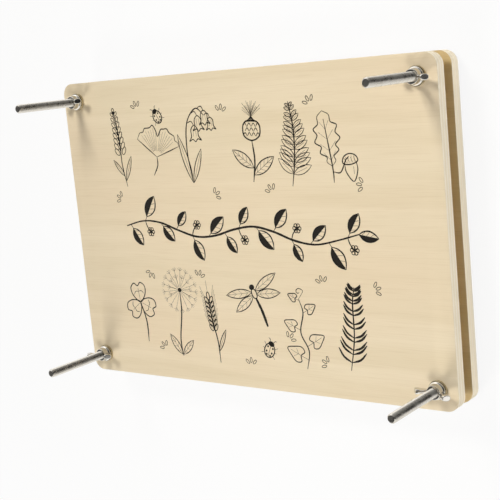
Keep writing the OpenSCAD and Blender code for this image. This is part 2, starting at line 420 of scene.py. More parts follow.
def fern(at, height=50):
    """A fern frond: leaflets in pairs that shorten towards the tip."""
    spine = flow([(0, 0), (1.5, height * 0.35), (0.5, height * 0.7), (-3, height)], 12)
    at.draw(spine, 0.6)
    pairs = 13
    for i in range(pairs):
        k = int((0.16 + 0.80 * i / (pairs - 1)) * (len(spine) - 1))
        here, ahead = spine[k], spine[min(k + 1, len(spine) - 1)]
        # the pair at the tip leans a little past upright
        heading = 105
        if k + 1 < len(spine):
            heading = math.degrees(math.atan2(ahead.y - here.y, ahead.x - here.x))
        reach = 12.5 * (1 - i / pairs) ** 0.8 + 1.6
        for side in (1, -1):
            at.leaf(here, heading + side * 58, reach, reach * 0.30 + 0.5, 0, 0.34, 0.2, 0.75)


def lavender(at, height=48):
    """A lavender spike: rings of buds on an upright stem, with two narrow leaves."""
    stem = flow([(0, 0), (-1, height * 0.3), (0.6, height * 0.62), (0, height)], 8)
    at.draw(stem, 0.55)
    for i in range(8):
        y = height * (0.46 + 0.072 * i)
        swell = 1.25 - 0.075 * i
        for side in (1, -1):
            bud = round_line((side * 2.3 * swell, y + 1), 1.15 * swell, 2.1 * swell, -side * 34, 14)
            at.draw(bud, 0.38, True)
        at.fill(round_line((0, y + 2.2), 0.7, 1.2 * swell, 0, 10))
    at.draw(round_line((0, height + 1.2), 1.0, 1.9, 0, 14), 0.38, True)
    at.leaf((0, height * 0.08), 62, 17, 3.0, 0, 0.4)
    at.leaf((-0.4, height * 0.14), 122, 14, 2.6, 0, 0.4)


def clover(at, height=24):
    """A clover leaf of three hearts on a bent stalk."""
    at.draw(flow([(0, 0), (1.6, height * 0.5), (0, height)], 8), 0.6)
    heart = [(0, 0), (4.6, 4.2), (5.6, 9.0), (2.6, 11.6), (0, 9.8), (-2.6, 11.6), (-5.6, 9.0), (-4.6, 4.2)]
    for angle in (0, 120, 240):
        at.draw(moved(flow(heart, 5, True), (0, height), angle), 0.46, True)
        at.draw(moved([(0, 1.2), (0, 8.2)], (0, height), angle), 0.3)
        for side in (1, -1):
            mark = flow([(0, 6.4), (side * 2.2, 6.6), (side * 3.8, 4.9)], 4)
            at.draw(moved(mark, (0, height), angle), 0.26)


def ginkgo(at, reach=21, foot=13):
    """A ginkgo leaf: a fan with a notch, and veins that run out from the stalk."""
    at.draw(flow([(-2, -foot), (0.8, -foot * 0.45), (0, 0)], 8), 0.6)
    rim = []
    for i in range(19):
        r = reach * (1 + 0.035 * math.sin(i * 2.4) - (0.34 if i == 9 else 0.10 if i in (8, 10) else 0))
        rim.append(ray(28 + 124 * i / 18) * r)
    at.draw(flow([(0, 0)] + rim[:1], 3), 0.5)
    at.draw(flow([(0, 0)] + rim[-1:], 3), 0.5)
    at.draw(flow(rim, 4), 0.5)
    for i in range(2, 17):
        if i != 9:
            at.draw([rim[i] * 0.22, rim[i] * 0.90], 0.22)


def dandelion(at, height=31, reach=13.5):
    """A dandelion clock: a knob with fine spokes, each with a small parasol."""
    top = Vector((0, height))
    at.draw(flow([(0, -16), (-1.6, -4), (0.6, height * 0.5), (0, height)], 8), 0.7)
    at.fill(round_line(top, 1.8, 1.6, 0, 14))
    for far, count, first in ((1.0, 17, 0), (0.62, 11, 9)):
        for i in range(count):
            angle = first + 360 * i / count
            # the inner ring keeps clear of the stalk
            if far < 1 and 235 < angle < 305:
                continue
            end = top + ray(angle) * reach * far
            at.draw([top + ray(angle) * 2.2, end], 0.24)
            for spread in (-50, -18, 18, 50):
                at.draw([end, end + ray(angle + spread) * 2.7], 0.22)
    at.leaf((-0.6, -15), 128, 17, 5.2, 4, 0.42)
    at.leaf((0.2, -15), 50, 15, 4.8, 4, 0.42)


def wheat(at, height=52):
    """An ear of wheat: grains in pairs, each with a long beard."""
    at.draw(flow([(0, 0), (1.2, height * 0.32), (-0.4, height * 0.62), (0, height * 0.92)], 8), 0.6)
    for i in range(7):
        y = height * (0.48 + 0.066 * i)
        for side in (1, -1):
            at.draw(round_line((side * 2.2, y + 1.8), 1.35, 2.8, -side * 26, 14), 0.42, True)
            at.draw([(side * 1.8, y + 0.6), (side * 2.6, y + 3.2)], 0.24)
            at.draw([(side * 3.3, y + 4.2), (side * 6.4, y + 12.5)], 0.24)
    at.draw(round_line((0, height * 0.97), 1.3, 2.9, 0, 14), 0.42, True)
    at.draw([(0, height + 1.2), (0.3, height + 10)], 0.24)
    at.leaf((0.6, height * 0.16), 58, 19, 3.2, 0, 0.42)


def oak(at, height=40):
    """An oak leaf with round lobes, and an acorn in its cup."""
    side_line = [(0, 5), (3.2, 8), (2.6, 11), (6.8, 14), (5.2, 17.6), (9.2, 21), (6.6, 25), (8.6, 29),
                 (4.6, 31.6), (4.2, 36), (0, height - 1)]
    for side in (1, -1):
        at.draw(flow([(side * x, y) for x, y in side_line], 4), 0.5)
    at.draw(flow([(-1, -5), (0, 5), (0, height - 6)], 8), 0.55)
    for y, x in ((11, 5), (17, 7), (24, 6.4), (30, 4)):
        for side in (1, -1):
            at.draw([(0, y - 2.5), (side * x * 0.82, y + 2.6)], 0.26)
    nut = Vector((13, 3))
    at.draw(flow([(0, 1.5), (5, 0.5), (10, 7), (12.6, 9.0)], 6), 0.55)
    at.draw(moved(flow([(-4, 2.6), (-4.1, -3), (0, -9.4), (4.1, -3), (4, 2.6)], 5), nut), 0.5)
    cup = [(-5.2, 2.4), (-4.2, 6.0), (0, 7.6), (4.2, 6.0), (5.2, 2.4), (0, 1.0)]
    at.draw(moved(flow(cup, 5, True), nut), 0.5, True)
    for i in range(4):
        at.draw(moved([(-4.0 + 2.3 * i, 2.2), (-2.6 + 2.0 * i, 6.2)], nut), 0.28)
        at.draw(moved([(-2.2 + 2.0 * i, 1.9), (-4.0 + 2.3 * i, 5.4)], nut), 0.28)
    at.draw(moved([(1.6, -0.5), (1.3, -5)], nut), 0.3)


def bluebell(at, height=46):
    """A bluebell: an arched stem with nodding bells, and a strap leaf."""
    stem = flow([(0, 0), (-1.6, height * 0.4), (1, height * 0.78), (9, height * 0.96),
                 (15, height * 0.86)], 10)
    at.draw(stem, 0.6)
    for k, size in ((0.50, 1.0), (0.64, 0.95), (0.80, 0.9), (1.0, 0.8)):
        joint = stem[int(k * (len(stem) - 1))]
        hang = joint + Vector((5.2 * size, -1.6))
        at.draw(flow([joint, joint + Vector((3.4 * size, 1.0)), hang], 5), 0.42)
        bell = [(0, 0), (-2.6, -2.4), (-2.7, -6.4), (-4.6, -9.2), (-1.9, -8.2), (0, -9.8), (1.9, -8.2),
                (4.6, -9.2), (2.7, -6.4), (2.6, -2.4)]
        at.draw(moved(flow(bell, 4, True), hang, size=size), 0.46, True)
        for x in (-1, 1):
            at.draw(moved([(x * 0.9, -1.8), (x * 1.1, -6.6)], hang, size=size), 0.26)
    at.leaf((0, 0), 104, 31, 4.2, 0, 0.46)
    at.leaf((0.4, 0), 66, 22, 3.8, 0, 0.46)


def thistle(at, height=36):
    """A thistle head: a scaly cup and a brush of fine rays."""
    at.draw(flow([(0, 0), (1.4, height * 0.34), (0, height * 0.66)], 8), 0.65)
    foot = (0, height * 0.66)
    cup = [(0, 0), (5.2, 2.4), (6, 7.6), (4, 10.6), (0, 11.2), (-4, 10.6), (-6, 7.6), (-5.2, 2.4)]
    at.draw(moved(flow(cup, 5, True), foot), 0.55, True)
    for row in range(3):
        y = 2.4 + 2.7 * row
        for i in range(4 - row % 2):
            x = (i - (3 - row % 2) / 2) * 3.0
            at.draw(moved(flow([(x - 1.4, y), (x, y + 2.0), (x + 1.4, y)], 4), foot), 0.34)
    for i in range(17):
        far = ray(48 + 84 * i / 16) * (12.5 + 1.6 * math.sin(i * 1.9))
        at.draw(moved([((i - 8) * 0.5, 10.4), (far.x * 0.8, 9 + far.y)], foot), 0.3)
    for angle, y in ((38, 4), (146, 8)):
        at.leaf((0.6, y), angle, 18, 6.4, 5, 0.44)


def heart_vine(at, height=46):
    """A climbing stem with heart leaves turn about, and a curled tendril."""
    stem = flow([(0, 0), (3, height * 0.26), (-1.6, height * 0.52), (2, height * 0.8), (0, height)], 8)
    at.draw(stem, 0.6)
    heart = [(0, 0), (-3.2, -1.6), (-5.0, 1.6), (-3.0, 6.0), (0, 10.0), (3.0, 6.0), (5.0, 1.6), (3.2, -1.6)]
    for i, k in enumerate((0.14, 0.34, 0.55, 0.76, 0.97)):
        joint = stem[int(k * (len(stem) - 1))]
        side, size = (1 if i % 2 else -1), 1.1 - 0.13 * i
        lobe = joint + Vector((side * 5.2, 2.6)) * size
        at.draw([joint, lobe], 0.4)
        spot = (lobe, -side * 62, size)
        at.draw(moved(flow(heart, 5, True), *spot), 0.46, True)
        at.draw(moved([(0, 0), (0, 7.6)], *spot), 0.3)
        for s in (1, -1):
            at.draw(moved([(0, 2.0), (s * 2.7, 4.4)], *spot), 0.26)
    curl = [(0, height)]
    for i in range(8):
        swing = 5.4 - 0.62 * i
        curl.append((0.6 + swing * math.cos(0.8 * i) * 0.6, height + 4.6 + swing * math.sin(0.8 * i) * 0.5))
    at.draw(flow(curl, 5), 0.34)


def ladybird(at):
    """A ladybird seen from above."""
    at.draw(round_line((0, 0), 5.0, 6.2, 0, 22), 0.55, True)
    at.fill(round_line((0, 6.0), 3.0, 2.3, 0, 14))
    at.draw([(0, 4.6), (0, -6.0)], 0.45)
    for x, y in ((2.5, 2.6), (-2.5, 2.6), (2.7, -1.6), (-2.7, -1.6), (1.7, -4.2), (-1.7, -4.2)):
        at.fill(round_line((x, y), 0.85, 0.95, 0, 10))
    for side in (1, -1):
        at.draw(flow([(side * 1.4, 7.8), (side * 2.6, 9.6), (side * 4.2, 10.2)], 4), 0.3)
        for y, lean in ((3.2, 2.2), (0, 0.2), (-3.2, -2.0)):
            at.draw([(side * 4.6, y), (side * 7.0, y + lean)], 0.4)


def dragonfly(at):
    """A dragonfly: a long ringed body and two pairs of clear wings."""
    at.fill(round_line((0, 9.2), 1.9, 1.6, 0, 14))
    at.draw(round_line((0, 5.2), 1.7, 3.0, 0, 16), 0.5, True)
    at.draw(flow([(0, 2.2), (0.5, -6), (0, -15)], 7), 1.25, taper=0.7)
    for side in (1, -1):
        for foot, angle, length, width in ((6.4, 14, 19, 5.2), (4.4, -16, 17, 5.4)):
            heading = angle if side > 0 else 180 - angle
            at.leaf((side * 1.2, foot), heading, length, width, 4, 0.42, 0.2, 0.92)


def bramble(at, length=190):
    """A long runner of bramble: leaves turn about, half of each inked solid, and berries between."""
    stem = flow([(length * (i / 12 - 0.5), 4.6 * math.sin(i * 1.12)) for i in range(13)], 8)
    at.draw(stem, 0.85, taper=0.6)
    for i in range(14):
        here = stem[int((0.03 + 0.93 * i / 13) * (len(stem) - 1))]
        side = 1 if i % 2 else -1
        heading = side * (54 + 9 * math.sin(i * 2.1))
        at.draw([here, here + ray(heading) * 3.6], 0.55)
        reach = 14.5 + 2.2 * math.sin(i * 1.7)
        at.leaf(here + ray(heading) * 3.2, heading, reach, reach * 0.52, 4, 0.55, 0.3, 0.92, side)
        if i % 3 == 1:
            berry = here + Vector((4.5, -side * 7.5))
            at.draw(flow([here, here + Vector((1.4, -side * 4.0)), berry], 4), 0.45)
            for k in range(6):
                at.draw(round_line(berry + ray(60 * k) * 1.9, 1.25, 1.25, 0, 10), 0.34, True)
            at.fill(round_line(berry, 1.1, 1.1, 0, 10))
    at.leaf(stem[-1], -8, 14, 6.6, 4, 0.55, 0.3, 0.92, -1)


def rosemary(at, height=48):
    """A rosemary sprig: narrow leaves in pairs, each one stroke of a broad pen."""
    stem = flow([(0, 0), (1.2, height * 0.4), (-0.6, height * 0.8), (0, height)], 8)
    at.draw(stem, 0.65)
    for i in range(15):
        here = stem[int((0.12 + 0.86 * i / 14) * (len(stem) - 1))]
        reach = 9.0 - 0.36 * i
        for side in (1, -1):
            at.draw(flow([here, here + Vector((side * reach * 0.6, reach * 0.28)),
                          here + Vector((side * reach, reach * 0.8))], 3), 1.0, taper=0.3)


def seeds(at, count=3, reach=3.74):
    """A few drops in a small fan."""
    for i in range(count):
        angle = 90 + (i - (count - 1) / 2) * 44
        at.draw(round_line(ray(angle) * reach, 1.7, 0.75, angle, 12), 0.36, True)


# A runner across the middle, sprigs above and below it, and insects and drops between them.
# The places are in mm from the middle of the board, the leans in degrees.
bramble(Sprig(-6, 0, -2.0, 1.0, weight=1.7))
lavender(Sprig(-96, 31, 7, 1.08))
ginkgo(Sprig(-66, 51, -10, 1.0))
bluebell(Sprig(-36, 33, 3, 1.1))
thistle(Sprig(14, 33, -3, 1.12, weight=1.7))
fern(Sprig(44, 30, -5, 1.05, weight=1.6))
oak(Sprig(75, 37, 8, 1.0))
clover(Sprig(-92, -80, 8, 1.2, weight=1.7))
dandelion(Sprig(-60, -72, -3, 1.0))
wheat(Sprig(-28, -90, 7, 0.92, weight=1.6))
dragonfly(Sprig(8, -46, 22, 1.15, weight=1.6))
heart_vine(Sprig(43, -88, 3, 1.0))
rosemary(Sprig(76, -86, -7, 1.12))
ladybird(Sprig(-62, 78, 30, 0.72))
ladybird(Sprig(14, -78, -24, 0.8))
for x, y, lean in ((-80, 84, 20), (-8, 78, -10), (62, 80, 30), (-102, 22, 60), (-20, 24, -60),
                   (-82, -28, 150), (96, 30, 80), (-40, -32, -20), (60, -32, 15), (30, -70, -40),
                   (96, -34, -70), (28, 26, 30), (-76, -84, 40), (-2, -90, 0), (60, -84, 60)):
    seeds(Sprig(x, y, lean, 1.1, weight=1.2))


def run_tree(tree, start, values):
    """Runs a Geometry Nodes tree on a mesh and returns the plain mesh that it makes."""
    holder = bpy.data.objects.new("holder", start)
    bpy.context.scene.collection.objects.link(holder)
    modifier = holder.modifiers.new("make", "NODES")
    modifier.node_group = tree
    for item in tree.interface.items_tree:
        if item.in_out == "INPUT" and item.name in values:
            modifier[item.identifier] = values[item.name]
    made = holder.evaluated_get(bpy.context.evaluated_depsgraph_get())
    mesh = bpy.data.meshes.new_from_object(made)
    holder.modifiers.remove(modifier)
    bpy.data.objects.remove(holder)
    return mesh


def new_tree(name, **sockets):
    """A Geometry Nodes tree with named inputs, and those inputs."""
    tree = bpy.data.node_groups.new(name, "GeometryNodeTree")
    tree.interface.new_socket("Geometry", in_out="INPUT", socket_type="NodeSocketGeometry")
    for key, kind in sockets.items():
        tree.interface.new_socket(key, in_out="INPUT", socket_type="NodeSocket" + kind)
    tree.interface.new_socket("Geometry", in_out="OUTPUT", socket_type="NodeSocketGeometry")
    return tree, add(tree, "NodeGroupInput").outputs


def both_sides(tree, sheet, thickness):
    """The two sides of a flat mesh that is given a thickness, upwards."""
    raised = add(tree, "GeometryNodeExtrudeMesh", {"Mesh": sheet, "Offset": (0, 0, 1),
                                                   "Offset Scale": thickness,
                                                   "Individual": False}, mode="FACES")
    return [raised, add(tree, "GeometryNodeFlipFaces", {0: sheet})]


def close_tree(tree, parts, material):
    """Ends a tree: its parts are joined, welded and given their material."""
    whole = add(tree, "GeometryNodeJoinGeometry")
    for part in parts:
        tree.links.new(part.outputs[0], whole.inputs[0])
    whole = add(tree, "GeometryNodeMergeByDistance", {"Geometry": whole, "Distance": weld})
    whole = add(tree, "GeometryNodeRealizeInstances", {0: whole})
    whole = add(tree, "GeometryNodeSetMaterial", {"Geometry": whole, "Material": material})
    add(tree, "NodeGroupOutput", {0: whole})


# Screen ink: near black, matt, a little thinner where the screen printed it lightly
ink, tree, spot = new_material("matt_black_screen_printed_ink")
# its mottle is about 1 mm across
mottle = add(tree, "ShaderNodeTexNoise", {"Vector": spot, "Scale": 900.0, "Detail": 3.0})
tint = add(tree, "ShaderNodeMix", {0: mottle, 6: linear("12100e"), 7: linear("2e2a25")}, data_type="RGBA")
skin = add(tree, "ShaderNodeBsdfPrincipled", {"Base Color": tint.outputs[2], "Roughness": 0.62,
                                              "Specular IOR Level": 0.3})
add(tree, "ShaderNodeOutputMaterial", {"Surface": skin})

# pen strokes: each line becomes a flat band as wide as the pen is at that point
pen_tree, given = new_tree("pen_strokes", Thickness="Float", Ink="Material")
lines = add(pen_tree, "GeometryNodeMeshToCurve", {0: given["Geometry"]})
lines = add(pen_tree, "GeometryNodeSetCurveNormal", {0: lines}, mode="Z_UP")
nib = add(pen_tree, "GeometryNodeCurvePrimitiveQuadrilateral", {"Width": 2.0, "Height": 0.3})
half = add(pen_tree, "GeometryNodeInputNamedAttribute", {"Name": "pen"}, data_type="FLOAT")
bands = add(pen_tree, "GeometryNodeCurveToMesh", {"Curve": lines, "Profile Curve": nib, "Scale": half,
                                                  "Fill Caps": True})
# the nib's height is set anew, so that a broad stroke is no thicker than a fine one
place = add(pen_tree, "ShaderNodeSeparateXYZ", {0: add(pen_tree, "GeometryNodeInputPosition")})
sign = add(pen_tree, "ShaderNodeMath", {0: place.outputs["Z"]}, operation="SIGN")
flat = add(pen_tree, "ShaderNodeMath", {0: sign, 1: given["Thickness"]}, operation="MULTIPLY")
flat = add(pen_tree, "ShaderNodeMath", {0: flat, 1: 0.5}, operation="MULTIPLY")
spot = add(pen_tree, "ShaderNodeCombineXYZ", {0: place.outputs["X"], 1: place.outputs["Y"], 2: flat})
bands = add(pen_tree, "GeometryNodeSetPosition", {"Geometry": bands, "Position": spot})
close_tree(pen_tree, [bands], given["Ink"])

# solid spots: each closed line is filled and given the same thickness
spot_tree, given = new_tree("solid_spots", Thickness="Float", Ink="Material")
rims = add(spot_tree, "GeometryNodeMeshToCurve", {0: given["Geometry"]})
discs = add(spot_tree, "GeometryNodeFillCurve", {"Curve": rims}, mode="NGONS")
close_tree(spot_tree, both_sides(spot_tree, discs, given["Thickness"]), given["Ink"])


def line_mesh(name, lines, closed, pens=None):
    """The lines as edges only, in metres, with the pen's half width on each point."""
    points, edges, widths = [], [], []
    for i, line in enumerate(lines):
        first = len(points)
        points += [(p.x * MM, p.y * MM, 0) for p in line]
        edges += [(first + k, first + k + 1) for k in range(len(line) - 1)]
        if closed[i]:
            edges.append((first + len(line) - 1, first))
        widths += [w * MM for w in pens[i]] if pens else []
    mesh = bpy.data.meshes.new(name)
    mesh.from_pydata(points, edges, [])
    if pens:
        mesh.attributes.new("pen", "FLOAT", "POINT").data.foreach_set("value", widths)
    return mesh


ink_t = ink_top + ink_root
drawn, pens, closed = zip(*strokes)
pen_lines = line_mesh("pen_lines", drawn, closed, pens)
stroke_mesh = run_tree(pen_tree, pen_lines, {"Thickness": ink_t, "Ink": ink})
stroke_mesh.transform(Matrix.Translation((0, 0, printed_face + ink_top - ink_t / 2)))
spot_lines = line_mesh("spot_lines", fills, [True] * len(fills))
spot_mesh = run_tree(spot_tree, spot_lines, {"Thickness": ink_t, "Ink": ink})
spot_mesh.transform(Matrix.Translation((0, 0, printed_face - ink_root)))
for mesh, name in ((stroke_mesh, "print_pen_strokes"), (spot_mesh, "print_solid_spots")):
    bm = bmesh.new()
    bm.from_mesh(mesh)
    bmesh.ops.recalc_face_normals(bm, faces=bm.faces)
    mesh = mesh_of(bm, name)
    mesh.materials.append(ink)
    finished(mesh, name, "top_board")


# Coach bolts
# M6 coach bolts of nickel-plated steel, rolled thread of 1 mm pitch to the tip. A low
# mushroom head lies under the bottom board and a square neck is drawn into its wood.
corners = ("front_left", "front_right", "back_left", "back_right")
thread_r = 2.95 * MM
thread_depth = 0.6 * MM
thread_pitch = 1.0 * MM
tip_bevel = 0.8 * MM
head_h, head_r, crown_r, head_rim_h = 3.5 * MM, 8 * MM, 3.5 * MM, 0.6 * MM
head_rim_rounding = 0.25 * MM
neck_w, neck_h = 6 * MM, 3.8 * MM
neck_root, neck_rounding = 0.5 * MM, 0.35 * MM
# the thread starts a little way inside the neck, so that no gap shows under it
thread_root = 0.4 * MM
thread_facets, head_facets, dome_steps = 28, 64, 12


def nickel(name, base, rough, scratch):
    """Bright nickel plate: a warm grey mirror, dulled here and there by handling and fine scratches."""
    material, tree, spot = new_material(name)
    # duller patches, about 4 mm across
    cloud = add(tree, "ShaderNodeTexNoise", {"Vector": spot, "Scale": 260.0, "Detail": 4.0})
    haze = add(tree, "ShaderNodeMapRange", {0: cloud, 1: 0.3, 2: 0.75, 3: rough * 0.7, 4: rough * 1.5})
    worn = add(tree, "ShaderNodeMix", {0: cloud, 6: linear(base[0]), 7: linear(base[1])}, data_type="RGBA")
    # rolling and tumbling marks, 0.1 to 0.2 mm apart
    marks = add(tree, "ShaderNodeTexNoise", {"Vector": spot, "Scale": 7000.0, "Detail": 2.0})
    relief = add(tree, "ShaderNodeBump", {"Height": marks, "Strength": scratch, "Distance": 0.00002})
    skin = add(tree, "ShaderNodeBsdfPrincipled", {"Base Color": worn.outputs[2], "Metallic": 1.0,
                                                  "Roughness": haze, "Normal": relief})
    add(tree, "ShaderNodeOutputMaterial", {"Surface": skin})
    return material


# Rolled thread: flanks catch the light in turn, so a bolt looks streaky and greyer than a nut
rolled_steel = nickel("nickel_plated_rolled_steel", ("b9b3a8", "d9d5cc"), 0.27, 0.10)

tree, given = new_tree("rolled_thread", Radius="Float", Depth="Float", Pitch="Float", Bottom="Float",
                       Top="Float", Bevel="Float", Turns="Int", Segments="Int", Steel="Material")
# a strip as long as the whole thread, with seven points across it
around = add(tree, "ShaderNodeMath", {0: given["Turns"], 1: given["Segments"]}, operation="MULTIPLY")
around = add(tree, "ShaderNodeMath", {0: around, 1: 1.0}, operation="ADD")
strip = add(tree, "GeometryNodeMeshGrid", {"Size X": 1.0, "Size Y": 1.0, "Vertices X": around,
                                           "Vertices Y": 7})
at = add(tree, "ShaderNodeSeparateXYZ", {0: add(tree, "GeometryNodeInputPosition")})
along = add(tree, "ShaderNodeMath", {0: at.outputs["X"], 1: 0.5}, operation="ADD")
across = add(tree, "ShaderNodeMath", {0: at.outputs["Y"], 1: 0.5}, operation="ADD")
turned = add(tree, "ShaderNodeMath", {0: along, 1: given["Turns"]}, operation="MULTIPLY")
angle = add(tree, "ShaderNodeMath", {0: turned, 1: 2 * math.pi}, operation="MULTIPLY")
# the strip climbs one pitch a turn and is one pitch wide, so its edges meet
climb = add(tree, "ShaderNodeMath", {0: turned, 1: across}, operation="ADD")
climb = add(tree, "ShaderNodeMath", {0: climb, 1: 1.0}, operation="SUBTRACT")
raw_z = add(tree, "ShaderNodeMath", {0: climb, 1: given["Pitch"], 2: given["Bottom"]},
            operation="MULTIPLY_ADD")
z = add(tree, "ShaderNodeClamp", {0: raw_z, 1: given["Bottom"], 2: given["Top"]})
# root, flank, flat crest, flank, root across the strip
off_crest = add(tree, "ShaderNodeMath", {0: at.outputs["Y"]}, operation="ABSOLUTE")
groove = add(tree, "ShaderNodeMapRange", {0: off_crest, 1: 0.09, 2: 0.46, 3: 0.0, 4: 1.0})
cut = add(tree, "ShaderNodeMath", {0: groove, 1: given["Depth"]}, operation="MULTIPLY")
formed = add(tree, "ShaderNodeMath", {0: given["Radius"], 1: cut}, operation="SUBTRACT")
# the tip is bevelled at 45 degrees, and at the neck the thread runs out on its core
to_top = add(tree, "ShaderNodeMath", {0: given["Top"], 1: z}, operation="SUBTRACT")
tip_r = add(tree, "ShaderNodeMath", {0: given["Radius"], 1: given["Bevel"]}, operation="SUBTRACT")
cone = add(tree, "ShaderNodeMath", {0: tip_r, 1: to_top}, operation="ADD")
from_low = add(tree, "ShaderNodeMath", {0: z, 1: given["Bottom"]}, operation="SUBTRACT")
core = add(tree, "ShaderNodeMath", {0: given["Radius"], 1: given["Depth"]}, operation="SUBTRACT")
run_out = add(tree, "ShaderNodeMath", {0: core, 1: from_low}, operation="ADD")
r = add(tree, "ShaderNodeMath", {0: formed, 1: cone}, operation="MINIMUM")
r = add(tree, "ShaderNodeMath", {0: r, 1: run_out}, operation="MINIMUM")
x = add(tree, "ShaderNodeMath", {0: angle}, operation="COSINE")
x = add(tree, "ShaderNodeMath", {0: x, 1: r}, operation="MULTIPLY")
y = add(tree, "ShaderNodeMath", {0: angle}, operation="SINE")
y = add(tree, "ShaderNodeMath", {0: y, 1: r}, operation="MULTIPLY")
helix = add(tree, "GeometryNodeSetPosition", {
    "Geometry": strip, "Position": add(tree, "ShaderNodeCombineXYZ", {0: x, 1: y, 2: z})})
parts = [helix]
for radius, level in ((tip_r, given["Top"]), (core, given["Bottom"])):
    cap = add(tree, "GeometryNodeMeshCircle", {"Vertices": given["Segments"], "Radius": radius},
              fill_type="NGON")
    parts.append(add(tree, "GeometryNodeTransform", {
        "Geometry": cap, "Translation": add(tree, "ShaderNodeCombineXYZ", {2: level})}))
close_tree(tree, parts, given["Steel"])

bolt_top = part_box("bolt_front_left")[1].z
thread_bottom = head_h + neck_h - thread_root
turns = math.ceil((bolt_top - thread_bottom) / thread_pitch) + 1
thread_mesh = run_tree(tree, bpy.data.meshes.new("no_mesh"), {
    "Radius": thread_r, "Depth": thread_depth, "Pitch": thread_pitch, "Bottom": thread_bottom,
    "Top": bolt_top, "Bevel": tip_bevel, "Turns": turns, "Segments": thread_facets, "Steel": rolled_steel})


def turned_solid(profile, count):
    """A closed solid of revolution about Z from (radius, height) points that start and end on the axis."""
    bm = bmesh.new()
    verts = [bm.verts.new((r, 0, z)) for r, z in profile]
    edges = [bm.edges.new(pair) for pair in zip(verts, verts[1:])]
    bmesh.ops.spin(bm, geom=verts + edges, cent=(0, 0, 0), axis=(0, 0, 1), angle=2 * math.pi, steps=count,
                   use_merge=True)
    bmesh.ops.remove_doubles(bm, verts=bm.verts, dist=weld)
    bmesh.ops.recalc_face_normals(bm, faces=bm.faces)
    return bm


# the head's dome is an arc from the flat crown to the upright rim, which is a little rounded
dome_h = head_h - head_rim_h
dome_z = (head_r ** 2 - crown_r ** 2 + dome_h ** 2) / (2 * dome_h)
dome_r = math.hypot(crown_r, dome_z)
low, high = math.asin(crown_r / dome_r), math.asin(head_r / dome_r)
head_profile = [(0, 0), (crown_r * 0.5, 0)]
for i in range(dome_steps):
    lean = low + (high - low) * i / dome_steps
    head_profile.append((dome_r * math.sin(lean), dome_z - dome_r * math.cos(lean)))
rim = head_rim_rounding
head_profile += [(head_r - rim * 0.08, dome_h - rim * 0.04), (head_r, dome_h + rim * 0.32),
                 (head_r, head_h - rim), (head_r - rim * 0.3, head_h - rim * 0.3),
                 (head_r - rim, head_h), (0, head_h)]
head = turned_solid(head_profile, head_facets)
# a cube of side 1 is stretched to the neck, which starts inside the head
neck = bmesh.ops.create_cube(head, size=1)["verts"]
for vertex in neck:
    z = head_h - neck_root + (vertex.co.z + 0.5) * (neck_h + neck_root)
    vertex.co = (vertex.co.x * neck_w, vertex.co.y * neck_w, z)
upright = {e for vertex in neck for e in vertex.link_edges if abs(e.verts[0].co.z - e.verts[1].co.z) > MM}
bmesh.ops.bevel(head, geom=list(upright), offset=neck_rounding, segments=3, profile=0.5, affect="EDGES")
head_mesh = mesh_of(head, "head_and_neck")


def middle_of(node):
    """The middle of a CAD node's box."""
    lowest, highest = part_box(node)
    return (lowest + highest) / 2


for corner in corners:
    node = "bolt_" + corner
    middle = middle_of(node)
    bm = bmesh.new()
    bm.from_mesh(thread_mesh)
    bmesh.ops.recalc_face_normals(bm, faces=bm.faces)
    bm.from_mesh(head_mesh)
    bmesh.ops.translate(bm, verts=bm.verts, vec=(middle.x, middle.y, 0))
    mesh = mesh_of(bm, node + "_threaded")
    mesh.materials.append(rolled_steel)
    piece = finished(mesh, node + "_threaded", "base", smooth_under=28)
    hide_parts(node)


# Washers
# Flat M6 washers, stamped from steel strip and nickel plated. Stamping rounds the upper
# edges, and tumbling breaks the lower ones.
stamped_steel = nickel("nickel_plated_stamped_steel", ("b5a98c", "cdc2a6"), 0.20, 0.10)
washer_rounding = 0.28 * MM
for corner in corners:
    node = "washer_" + corner
    mesh = merged_copy(node, node + "_stamped", washer_rounding, sharp=60)
    mesh.materials.append(stamped_steel)
    piece = finished(mesh, node + "_stamped", "top_board", smooth_under=30)
    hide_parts(node)


# Wing nuts
# Small M6 wing nuts, die cast in zinc alloy and nickel plated: a round foot, a tapered hub
# and two webs that rise to thick round ends. The bore is drilled after casting.
cast_nickel = nickel("nickel_plated_zinc_die_casting", ("cfcbc3", "e6e3dc"), 0.12, 0.06)
nut_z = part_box("washer_front_left")[1].z
nut_angles = {"front_left": 2, "front_right": -7, "back_left": 5, "back_right": -4}
hub_facets, wing_facets, drill_facets = 48, 20, 64
# a wing's section is a little squarer than an ellipse, which has 1 here
squareness = 0.8
# the casting's voxel size in mm, and how strongly and how often its skin is smoothed
cast_voxel, easing, easing_rounds = 0.17, 0.5, 9
# what the easing leaves of the foot's underside within this height is set flat on the washer
foot_slack = 0.12 * MM
bore_r, countersink, drill_h = 3.0 * MM, 0.3 * MM, 8 * MM
countersink_low, countersink_top = 5.2 * MM, 5.55 * MM
# outline of foot and hub as (radius, height), in mm, with a narrow hole that is drilled out later
hub_line = [(2.6, 0.0), (5.1, 0.0), (5.5, 0.35), (5.5, 1.05), (5.15, 1.4), (4.75, 1.65), (4.55, 2.4),
            (4.45, 3.6), (4.40, 5.1), (4.25, 5.4), (2.6, 5.4)]
# sections of a wing along its middle line: distance out, height, lean, half height, half thickness
wing_line = [(3.3, 3.20, 8, 2.05, 1.50), (4.3, 3.55, 18, 1.98, 1.25), (5.4, 4.25, 30, 1.92, 1.12),
             (6.4, 5.10, 39, 1.96, 1.16), (7.2, 5.85, 40, 2.18, 1.36), (7.9, 6.45, 40, 2.48, 1.64),
             (8.6, 7.05, 40, 2.70, 1.86), (9.3, 7.65, 40, 2.74, 1.92), (9.9, 8.15, 40, 2.62, 1.88),
             (10.35, 8.53, 40, 2.34, 1.70)]

